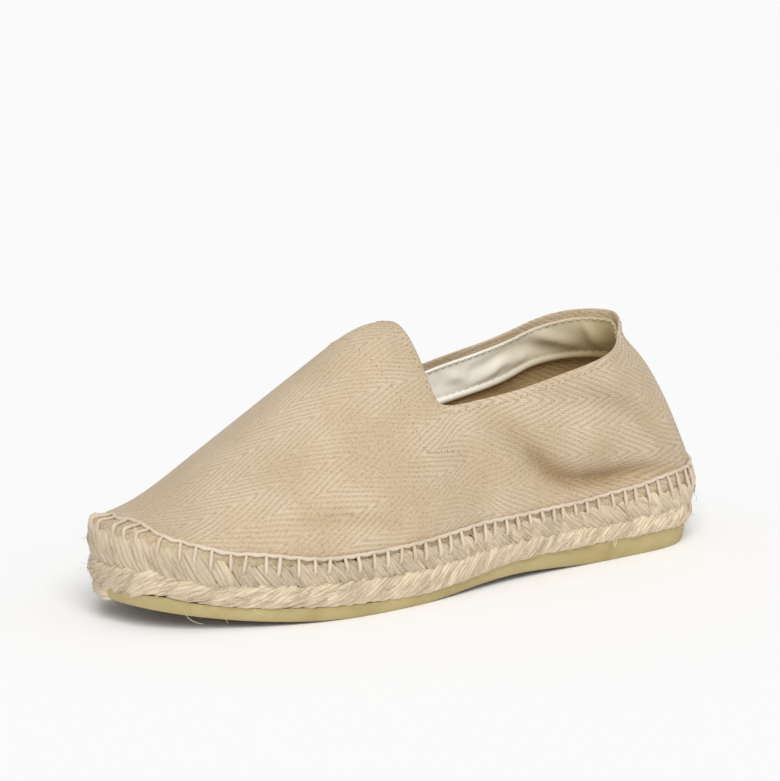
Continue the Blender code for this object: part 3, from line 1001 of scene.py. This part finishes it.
def ring_place_near(ring, point):
    """Length along a ring where it passes nearest to a point, seen from above."""
    gaps = np.linalg.norm(ring[0][:, :2] - np.array(point)[None, :2], axis=1)
    return ring[1][int(gaps.argmin())]


def pulled_tight(start, end, outside):
    """A line from start to end that lies on the shoe and bridges its hollows, as a thread does."""
    way = end - start
    aside = outside + Vector((0, 0, 0.6))
    aside = (aside - way * (aside.dot(way) / way.length_squared)).normalized()
    touched = []
    for step in range(BAR_STEPS):
        share = step / (BAR_STEPS - 1)
        aim = start + way * share
        met = dress_tree.ray_cast(aim + aside * OFF_THE_SHOE, -aside)[0]
        touched.append((share, (met - aim).dot(aside) if met else 0.0))
    hull = []
    for spot in touched:
        while len(hull) > 1:
            (s0, d0), (s1, d1) = hull[-2:]
            if (d1 - d0) * (spot[0] - s0) > (spot[1] - d0) * (s1 - s0):
                break
            hull.pop()
        hull.append(spot)
    lifts = np.interp([s for s, _ in touched], *zip(*hull))
    for _ in range(3):
        lifts[1:-1] = np.maximum(lifts[1:-1], 0.25 * lifts[:-2] + 0.5 * lifts[1:-1] + 0.25 * lifts[2:])
    return [start + way * s + aside * lift for (s, _), lift in zip(touched, lifts)], aside


stitch_count = round(cord_ring[1][-1] / STITCH_PITCH)
bar_shape = thread_length(sides=8, rings=16, turns=1.6)
thread_copies = []
bar_places = []
for k in range(stitch_count):
    gone = (k + 0.5 + rng.uniform(-0.13, 0.13)) / stitch_count * cord_ring[1][-1]
    bar_places.append(gone)
    at, outside = (Vector(row[0]) for row in on_ring(cord_ring, gone))
    below = ring_place_near(foot_ring, at + outside * 5 * MM)
    lean = np.interp(at.x, feet[:, 0], feet[:, 2]) + rng.uniform(-0.6, 0.6) * MM
    foot = Vector(on_ring(foot_ring, below + lean)[0][0])
    foot.z += rng.uniform(-0.8, 0.6) * MM
    route, aside = pulled_tight(at, foot, outside)
    lifted = []
    for step, p in enumerate(route):
        dive = BAR_DIVE * max(0, (step - DIVE_STEP) / (BAR_STEPS - 1 - DIVE_STEP)) ** 2
        lifted.append(p + aside * (0.85 * THREAD_RADIUS - dive))
    lifted[0] += (route[0] - route[-1]).normalized() * BAR_TOP
    placed = bent_along(bar_shape, smooth_route(lifted), THREAD_RADIUS * rng.uniform(0.9, 1.06),
                        aside=(-outside.y, outside.x, 0.0))
    thread_copies.append((*placed, rng.random()))

# %% The cord that the bars hang from, one length between each two
CORD_OVERLAP = 0.9 * MM
CORD_SAG = 0.25 * MM
cord_shape = thread_length(sides=8, rings=14, turns=1.3)
for k, gone in enumerate(bar_places):
    ahead = bar_places[(k + 1) % stitch_count]
    ahead += cord_ring[1][-1] if ahead < gone else 0
    share = np.linspace(0, 1, 9)
    reaches = gone - CORD_OVERLAP + (ahead - gone + 2 * CORD_OVERLAP) * share
    base, outside = on_ring(cord_ring, reaches)
    route = []
    for spot, away in zip(base, outside):
        normal = canvas_tree.find_nearest(Vector(spot))[1]
        normal = normal if normal.dot(Vector(away)) > 0 else -normal
        route.append(Vector(spot) + (normal + Vector(away)).normalized() * THREAD_RADIUS * 0.95)
    route = np.array([tuple(p) for p in route])
    route[:, 2] += CORD_SAG * np.cos(2 * math.pi * share)
    placed = bent_along(cord_shape, route, THREAD_RADIUS * rng.uniform(0.98, 1.1))
    thread_copies.append((*placed, rng.random()))
blanket_stitch = joined("blanket_stitch", thread_copies)

# %% [markdown]
# ## Cotton thread
# The thread is mercerised cotton, a warm cream with a slight pink that stands out from the straw
# colour of the jute. It is smoother than the cloth, with a soft light along each ply.

# %% Thread finish
def thread_finish(name, pale, deep):
    made, tree = new_finish(name)
    place = add(tree, "TexCoord").outputs["Object"]
    fuzz = add(tree, "TexNoise", Vector=place, Scale=1400.0, Detail=3.0)
    own = add(tree, "Attribute", {"attribute_name": "tone"})
    mixed = add(tree, "Math", {"operation": "MULTIPLY_ADD"}, in0=own.outputs["Fac"], in1=0.5, in2=fuzz)
    return finished(
        made, Roughness=0.7, Specular_IOR_Level=0.35, Sheen_Weight=0.1,
        Base_Color=add(tree, "ValToRGB", stops=((0.3, deep), (0.9, pale)), Fac=mixed),
        Normal=add(tree, "Bump", Height=fuzz, Strength=0.4, Distance=0.15 * MM),
    )


thread = thread_finish("mercerised_cotton_thread", "#D6C7B3", "#C5B199")
blanket_stitch.data.materials.append(thread)
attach(blanket_stitch, "root")

# %% [markdown]
# ## The rubber sole
# A thin sheet of rubber is pressed onto the braid and trimmed. Its lower edge is rounded by the trim,
# and the underside, coloured darker and greyer than the edge, has fine pressed ribs so that it grips.

# %% Rubber sole
TRIM = 0.7 * MM
TREAD_PITCH = 2.4 * MM
ABOVE_BRAID = 0.3 * MM
TREAD_SLOT = 1
rubber_sole = copy_solid("outsole", "rubber_sole")
bpy.ops.object.mode_set(mode="EDIT")
bpy.ops.mesh.select_mode(type="EDGE")
bpy.ops.mesh.select_all(action="DESELECT")
bpy.ops.mesh.edges_select_sharp(sharpness=math.radians(50))
bpy.ops.mesh.bevel(offset=TRIM, segments=2, clamp_overlap=True)
bpy.ops.object.mode_set(mode="OBJECT")
bpy.ops.object.shade_smooth_by_angle(angle=math.radians(40))
rubber_points = places_of(rubber_sole)
braid_foot = sole_height(rubber_points[:, 0], BRAID_FOOT)
on_top = np.array([v.normal.z > 0.3 for v in rubber_sole.data.vertices])
lip = braid_foot[on_top] + ABOVE_BRAID
rubber_points[on_top, 2] = np.maximum(rubber_points[on_top, 2], lip)
put_back(rubber_sole, rubber_points)


def rubber_finish(name, pale, deep, rib_height):
    """Natural rubber: olive khaki, matt, a little clouded, with a pressed grain and ribs across."""
    made, tree = new_finish(name)
    place = add(tree, "TexCoord").outputs["Object"]
    cloud = add(tree, "TexNoise", Vector=place, Scale=60.0, Detail=4.0)
    grain = add(tree, "TexVoronoi", Vector=place, Scale=520.0)
    split = add(tree, "SeparateXYZ", Vector=place)
    phase = add(tree, "Math", {"operation": "MULTIPLY"},
                in0=split.outputs["X"], in1=2 * math.pi / TREAD_PITCH)
    ribs = add(tree, "Math", {"operation": "SINE"}, in0=phase)
    height = add(tree, "Math", {"operation": "MULTIPLY_ADD"},
                 in0=ribs, in1=rib_height, in2=grain.outputs["Distance"])
    return finished(
        made, Roughness=0.62, IOR=1.52,
        Base_Color=add(tree, "ValToRGB", stops=((0.3, deep), (0.75, pale)), Fac=cloud),
        Normal=add(tree, "Bump", Height=height, Strength=0.35, Distance=0.25 * MM),
    )


rubber_sole.data.materials.append(rubber_finish("pressed_natural_rubber", "#BFAD7E", "#A89663", 0.0))
# the underside is coloured darker and greyer than the edge
rubber_sole.data.materials.append(rubber_finish("darker_greyer_ribbed_tread", "#9C9380", "#857C68", 1.6))
for face in rubber_sole.data.polygons:
    face.material_index = TREAD_SLOT if face.normal.z < -0.8 else 0
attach(rubber_sole, "root")
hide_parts("outsole")

# %% [markdown]
# ## The insole
# The foot stands on a plain-woven cotton cloth that is glued over the braid. It keeps its solid and
# only gets its cloth: a square weave of uneven threads, with the straw colour of the jute around it.

# %% Insole cloth
INSOLE_THREADS = 1.4 * MM


def insole_finish():
    made, tree = new_finish("plain_woven_cotton_insole")
    place = add(tree, "TexCoord").outputs["Object"]
    split = add(tree, "SeparateXYZ", Vector=place)
    rows = []
    for axis in ("X", "Y"):
        phase = add(tree, "Math", {"operation": "MULTIPLY"},
                    in0=split.outputs[axis], in1=2 * math.pi / INSOLE_THREADS)
        rows.append(add(tree, "Math", {"operation": "SINE"}, in0=phase))
    weave = add(tree, "Math", {"operation": "MULTIPLY"}, in0=rows[0], in1=rows[1])
    slub = add(tree, "TexNoise", Vector=place, Scale=300.0, Detail=4.0)
    height = add(tree, "Math", {"operation": "ADD"}, in0=weave, in1=slub)
    level = add(tree, "MapRange", Value=height, From_Min=-0.6, From_Max=1.6)
    return finished(
        made, Roughness=0.9, Specular_IOR_Level=0.25,
        Base_Color=add(tree, "ValToRGB", stops=((0.0, "#A98F66"), (1.0, "#DCCBA7")), Fac=level),
        Normal=add(tree, "Bump", Height=level, Strength=0.6, Distance=0.3 * MM),
    )


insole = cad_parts["insole"]
insole.data.materials.clear()
insole.data.materials.append(insole_finish())

# %% [markdown]
# ## The collar's lining tape
# A pale cotton tape is sewn inside the collar, under the folded edge of the canvas, so that the heel
# doesn't rub. It is found by sending rays out from inside the shoe, a little lower for each row, and
# standing the tape off the wall, more so lower down, where it leans into the shoe. Its lower edge is
# a stitched roll that hangs free, the tape's ends join at the back, and the old folds across it are
# listed like the canvas's.

# %% Lining tape
TAPE_TOP = 3.7 * MM
TAPE_STATIONS = 260
TAPE_THICKNESS = 0.5 * MM
TAPE_PROFILE = (
    # length below the top, height above the wall, share of the folds, all in mm but the last
    (0.0, 0.4, 0.0), (0.9, 0.8, 0.0), (1.7, 0.65, 0.2), (2.8, 0.9, 0.6), (4.2, 1.2, 0.9),
    (5.6, 1.45, 1.0), (7.0, 1.7, 1.0), (8.4, 1.95, 1.0), (9.8, 2.2, 1.0), (11.2, 2.4, 0.9),
    (12.4, 2.5, 0.6), (13.3, 2.45, 0.2), (13.9, 2.35, 0.0), (14.5, 2.9, 0.0), (15.3, 3.4, 0.0),
    (16.2, 3.4, 0.0), (16.9, 2.8, 0.0), (17.3, 2.1, 0.0),
)
TAPE_FOLDS = (
    # height of the fold, reach, points (x, length below the top)
    (1.9, 1.7, ((85, 1.5), (92, 6.0), (100, 10.5))),
    (-1.0, 2.4, ((80, 5.0), (88, 9.0), (93, 12.5))),
    (1.5, 2.0, ((62, 12.5), (72, 8.5), (82, 11.0))),
    (-1.0, 2.2, ((56, 7.0), (68, 6.0), (80, 3.5))),
    (1.4, 1.2, ((102.5, 1.5), (104.5, 6.0), (105.5, 12.5))),
    (0.9, 1.8, ((44, 4.5), (54, 9.5))),
    (0.9, 1.8, ((12, 10.5), (28, 6.5))),
)
TAPE_ROWS = len(TAPE_PROFILE)
JOINT_HEIGHT, JOINT_PLACE, JOINT_SHARPNESS = 0.7 * MM, 0.49, 270
LEAST_STAND = 0.35 * MM


def collar_loop(count):
    """The collar's edge from the near notch around the heel to the far notch."""
    near = rounded_line(collar_side(-1), 120)[::-1]
    far = rounded_line(collar_side(1), 120)
    return even_steps([*near, *far[1:]], count)


def spine_point(spot, height):
    """The place on the shoe's middle line that is nearest to a point, at a height."""
    return Vector((min(max(spot.x, SPINE[0]), SPINE[1]), 0, height))


def inner_wall(point, drop):
    """The inside of the wall a length below a point of the collar, and the way towards the foot."""
    middle = spine_point(point, point.z - drop)
    away = Vector((point.x - middle.x, point.y, 0)).normalized()
    met, normal, _, _ = canvas_tree.ray_cast(middle, away)
    return met, (normal if normal.dot(away) < 0 else -normal)


def tape_folds(x, drop, share):
    """Height of the tape's old folds, in metres: the placed ones, and a faint unevenness."""
    height = 0.35 * MM * noise.noise(Vector((share * 30.0, drop / (5 * MM), 0.0)))
    height += 0.22 * MM * noise.noise(Vector((share * 75.0, drop / (2.6 * MM), 4.0)))
    for rise, reach, line in TAPE_FOLDS:
        gap, along = distance_to_line(np.array([[x, drop]]), line)
        ends = math.sin(math.pi * (0.15 + 0.7 * along[0]))
        height += rise * MM * math.exp(-(gap[0] / (reach * MM)) ** 2) * ends
    return height


tape_grid = []
for k, point in enumerate(collar_loop(TAPE_STATIONS)):
    share = k / (TAPE_STATIONS - 1)
    joint = JOINT_HEIGHT * math.exp(-((share - JOINT_PLACE) * JOINT_SHARPNESS) ** 2)
    column = []
    for drop, height, loose in TAPE_PROFILE:
        met, inside = inner_wall(point, TAPE_TOP + drop * MM)
        folds = loose * (tape_folds(point.x, drop * MM, share) + joint)
        column.append((met + inside * max(height * MM + folds, LEAST_STAND), inside))
    tape_grid.append(column)
tape_mesh = bpy.data.meshes.new("lining_tape")
tape_mesh.from_pydata(
    [tuple(spot) for column in tape_grid for spot, _ in column], [],
    [
        (k * TAPE_ROWS + r, k * TAPE_ROWS + r + 1, (k + 1) * TAPE_ROWS + r + 1, (k + 1) * TAPE_ROWS + r)
        for k in range(TAPE_STATIONS - 1) for r in range(TAPE_ROWS - 1)
    ],
)
tape = bpy.data.objects.new("lining_tape", tape_mesh)
bpy.context.collection.objects.link(tape)
only(tape)
thicken = tape.modifiers.new("thickness", "SOLIDIFY")
thicken.thickness = TAPE_THICKNESS
thicken.offset = 0
bpy.ops.object.modifier_apply(modifier="thickness")
bpy.ops.object.mode_set(mode="EDIT")
bpy.ops.mesh.select_all(action="SELECT")
bpy.ops.mesh.normals_make_consistent(inside=False)
bpy.ops.object.mode_set(mode="OBJECT")
bpy.ops.object.shade_smooth()


def tape_finish():
    """Bleached cotton tape: fine weave, soft white, darker and yellower towards the heel as painted
    shade.
    """
    made, tree = new_finish("bleached_cotton_tape")
    place = add(tree, "TexCoord").outputs["Object"]
    cloud = add(tree, "TexNoise", Vector=place, Scale=90.0, Detail=4.0)
    ramp = add(tree, "ValToRGB", stops=((0.3, "#F3EDDD"), (0.7, "#FFFCF3")), Fac=cloud)
    split = add(tree, "SeparateXYZ", Vector=place)
    # painted shade: from 58 mm to the back of the heel the tape is multiplied by a dim yellow, where
    # the heel's inside lies in shade
    wear_and_shade = add(tree, "MapRange", Value=split.outputs["X"], From_Min=58 * MM, From_Max=108 * MM)
    heel_shaded = add(tree, "Mix", {"data_type": "RGBA", "blend_type": "MULTIPLY"},
                   in0=wear_and_shade, in6=ramp, in7=tone("#BEAE86"))
    weave = add(tree, "TexNoise", Vector=place, Scale=1600.0, Detail=2.0)
    return finished(
        made, Base_Color=heel_shaded.outputs[2], Roughness=0.85, Sheen_Weight=0.1,
        Normal=add(tree, "Bump", Height=weave, Strength=0.3, Distance=0.15 * MM),
    )


tape.data.materials.append(tape_finish())
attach(tape, "root")

# %% [markdown]
# ## Seams
# The collar's hem, the throat's edge and the gusset beside it are sewn on a machine with thread of
# the cloth's own colour. What shows is a row of short stitches and, between them, the needle's
# holes, so each stitch is one length of the same rounded thread and each hole is a small dark bead
# of painted shade sunk into the cloth. The lines were read off the photograph and laid on the canvas.

# %% Lines of the seams, in millimetres on the near side
GUSSET = (
    (-29.3, 0, 98.5), (-30.5, -7.4, 96.1), (-29.4, -11.4, 94.6), (-27.6, -18.3, 90.3),
    (-24.6, -29.6, 79.3), (-22.7, -35, 71.6), (-20.2, -40.2, 61.4),
)
GUSSET_FOOT = ((-20.2, -40.2, 61.4), (-17.2, -40.7, 59.5), (-9.1, -39.7, 58.7), (1.4, -38.8, 55.6))
THROAT = (
    (-10.9, 0, 103.3), (-10.4, -8, 101.3), (-9.5, -14.1, 96.5), (-8.8, -21.7, 88.3),
    (-7.6, -27.5, 79.7), (-6.6, -31.6, 73.4), (-2.0, -34.0, 71.3), (4.9, -34.4, 72.6),
)
BACK = ((110, 1.8, 91), (116, 1.8, 78), (124, 1.8, 62), (132, 1.8, 46), (138, 1.8, 36))
SEAM_DROP = 3.6 * MM
MACHINE_PITCH = 3.4 * MM
MACHINE_RADIUS = 0.27 * MM
HIGHEST_MIDDLE = 60 * MM
HOLE_SINK = 0.1 * MM
# heights of a stitch's four places above the cloth, in radii of the thread: it dives at both ends
STITCH_LIFTS = (-0.4, 0.5, 0.5, -0.4)
SEWN_TAPE_ROWS = (1, 12)


def length_of(points):
    return sum((b - a).length for a, b in zip(points, points[1:]))


def places_in(line):
    """How many even places a seam has: four for each stitch, and one for its end."""
    return len(STITCH_LIFTS) * round(length_of(line) / MACHINE_PITCH) + 1


def laid_on(tree, line, stand=2 * MM):
    """The even places of a seam on a surface, with the way out of the shoe at each."""
    places = []
    for spot in rounded_line(line, places_in(line)):
        middle = spine_point(spot, min(spot.z, HIGHEST_MIDDLE))
        away = (spot - middle).normalized()
        met, normal = tree.find_nearest(spot + away * stand)[:2]
        places.append((met, normal if normal.dot(away) > 0 else -normal))
    return places


def sewn(places, radius, threads, holes, hole=0.34 * MM):
    """One length of thread for each stitch, and a dark bead of painted shade for the needle hole where
    it dives.
    """
    step = len(STITCH_LIFTS)
    for k in range(0, len(places) - step, step):
        route = [
            spot + out * radius * lift
            for (spot, out), lift in zip(places[k:k + step], STITCH_LIFTS)
        ]
        bent = bent_along(seam_shape, smooth_route(route, 8), radius)
        threads.append((*bent, rng.random()))
        spot, out = places[k]
        points, faces, uv = hole_shape
        holes.append((points * hole + np.array(spot - out * HOLE_SINK), faces, uv, rng.random()))


seam_shape = thread_length(sides=6, rings=5, turns=0)
bpy.ops.mesh.primitive_ico_sphere_add(subdivisions=1, radius=1)
hole_shape = shape_of(bpy.context.object)
collar_seam = [spot - Vector((0, 0, SEAM_DROP)) for spot in collar_loop(160)[4:-4]]
cloth_threads, cloth_holes = [], []
for side in (-1, 1):
    for line in (GUSSET, GUSSET_FOOT, THROAT):
        marks = [Vector((x, -side * y, z)) * MM for x, y, z in line]
        sewn(laid_on(canvas_tree, marks), MACHINE_RADIUS, cloth_threads, cloth_holes)
back_seams = [[Vector((x, side * y, z)) * MM for x, y, z in BACK] for side in (-1, 1)]
for line in (collar_seam, *back_seams):
    sewn(laid_on(canvas_tree, line), MACHINE_RADIUS, cloth_threads, cloth_holes)
cloth_seams = joined("machine_seams", cloth_threads)

tape_threads = []
for row in SEWN_TAPE_ROWS:
    line = [column[row][0] + column[row][1] * TAPE_THICKNESS / 2 for column in tape_grid[2:-2]]
    inward = [column[row][1] for column in tape_grid[2:-2]]
    count = places_in(line)
    picks = [round(k * (len(line) - 1) / (count - 1)) for k in range(count)]
    even = even_steps(line, count)
    places = [(spot, inward[pick]) for spot, pick in zip(even, picks)]
    sewn(places, 0.8 * MACHINE_RADIUS, tape_threads, cloth_holes, hole=0.24 * MM)
tape_seams = joined("tape_seams", tape_threads)
needle_holes = joined("needle_holes", cloth_holes)

cloth_seams.data.materials.append(thread_finish("beige_polyester_core_thread", "#D6C5AC", "#BBA685"))
tape_seams.data.materials.append(thread_finish("cream_lining_thread", "#DDD2B8", "#B9A987"))
pricked, _ = new_finish("shade_inside_a_needle_hole")
needle_holes.data.materials.append(finished(pricked, Base_Color=tone("#8A7350"), Roughness=1.0))
for piece in (cloth_seams, tape_seams, needle_holes):
    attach(piece, "root")

# %% [markdown]
# ## Loose fibres
# Jute is never smooth. Fine fibres lie over the strands where the comb left them, and some stand off
# or hang under the sole. Each is a thin tapered length, bent along a short route. Most follow the
# lean of their strand, which also softens the edges between strands as the photograph shows.

# %% Fibres on the plait
FIBRES = 1400
fibre_shape = thread_length(sides=3, rings=6, turns=0)
fibres = []
steps = np.linspace(-0.5, 0.5, 6)
for _ in range(FIBRES):
    ring, leans, drop = rng.choice((
        (upper_ring, UPPER_LEAN, 3.4), (lower_ring, LOWER_LEAN, 4.0), (lower_ring, LOWER_LEAN, 4.0),
    ))
    gone = rng.uniform(0, ring[1][-1])
    x = on_ring(ring, gone)[0][0][0]
    angle = math.radians(np.interp(x / MM, *zip(*leans)) + rng.gauss(0, 12))
    length = rng.uniform(4, 10) * MM
    up = rng.uniform(-drop, drop) * MM
    base, outside = on_ring(ring, gone + length * steps * math.cos(angle))
    bow = rng.uniform(-0.8, 0.8) * MM * (1 - 4 * steps ** 2)
    rise = up + length * steps * math.sin(angle) + bow
    foot = foot_of_strands(base[:, 0], base[:, 1])
    low = foot + rng.uniform(0.2, 1.0) * MM - base[:, 2]
    rise = np.maximum(rise, low)
    stand = rng.uniform(0.0, 0.4) * MM - 55 * rise ** 2 + rng.uniform(0, 0.8) * MM * (steps + 0.5) ** 3
    route = base + outside * stand[:, None]
    route[:, 2] += rise
    radius = rng.uniform(0.09, 0.14) * MM
    shade = rng.uniform(0.35, 0.8) if ring is upper_ring else rng.uniform(0.6, 1.0)
    fibres.append((*bent_along(fibre_shape, route, radius), shade))

# %% Hairs that stand off, and the ones that the photograph shows
HAIRS = 130
STRAYS = (
    # radius, points in millimetres
    (0.14, ((-127, -32, 10), (-126.5, -34, 7), (-124, -36.5, 5.2), (-121, -38, 4.6))),
    (0.12, ((-117, -40.5, 9.5), (-116, -43, 7.5), (-114.6, -44, 4.6))),
    (0.12, ((-104, -44, 10), (-103.2, -46.8, 8), (-100.5, -48, 6.8))),
    (0.35, ((139.5, -3, 17), (142.5, -3.5, 14), (143.5, -4, 11.5), (142.4, -4.2, 9.8))),
    (0.40, ((77, -38.5, 11), (76, -40.8, 8.5), (75.2, -41.3, 5.8))),
    (0.30, ((78.5, -38.5, 11), (76.8, -40.9, 9), (75.4, -41.2, 6.6))),
)
for _ in range(HAIRS):
    ring = rng.choice((upper_ring, lower_ring, lower_ring))
    base, outside = on_ring(ring, rng.uniform(0, ring[1][-1]))
    way = Vector(outside[0])
    aside = Vector((-way.y, way.x, 0)) * rng.uniform(-4, 4) * MM
    start = Vector(base[0]) + Vector((0, 0, rng.uniform(-3.5, 3.5) * MM)) + way * 0.2 * MM
    reach = rng.uniform(1.0, 3.6) * MM
    sink = Vector((0, 0, -rng.uniform(-1.0, 4.0) * MM))
    route = [
        start + aside * t + way * reach * math.sin(2.2 * t) + sink * t * t
        for t in (0, 0.3, 0.6, 1)
    ]
    placed = bent_along(fibre_shape, smooth_route(route, 8), rng.uniform(0.07, 0.11) * MM)
    fibres.append((*placed, rng.random()))
for radius, line in STRAYS:
    route = smooth_route([Vector(p) * MM for p in line], 10)
    fibres.append((*bent_along(fibre_shape, route, radius * MM), 0.8))
loose_fibres = joined("loose_fibres", fibres)
loose_fibres.data.materials.append(jute)
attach(loose_fibres, "root")
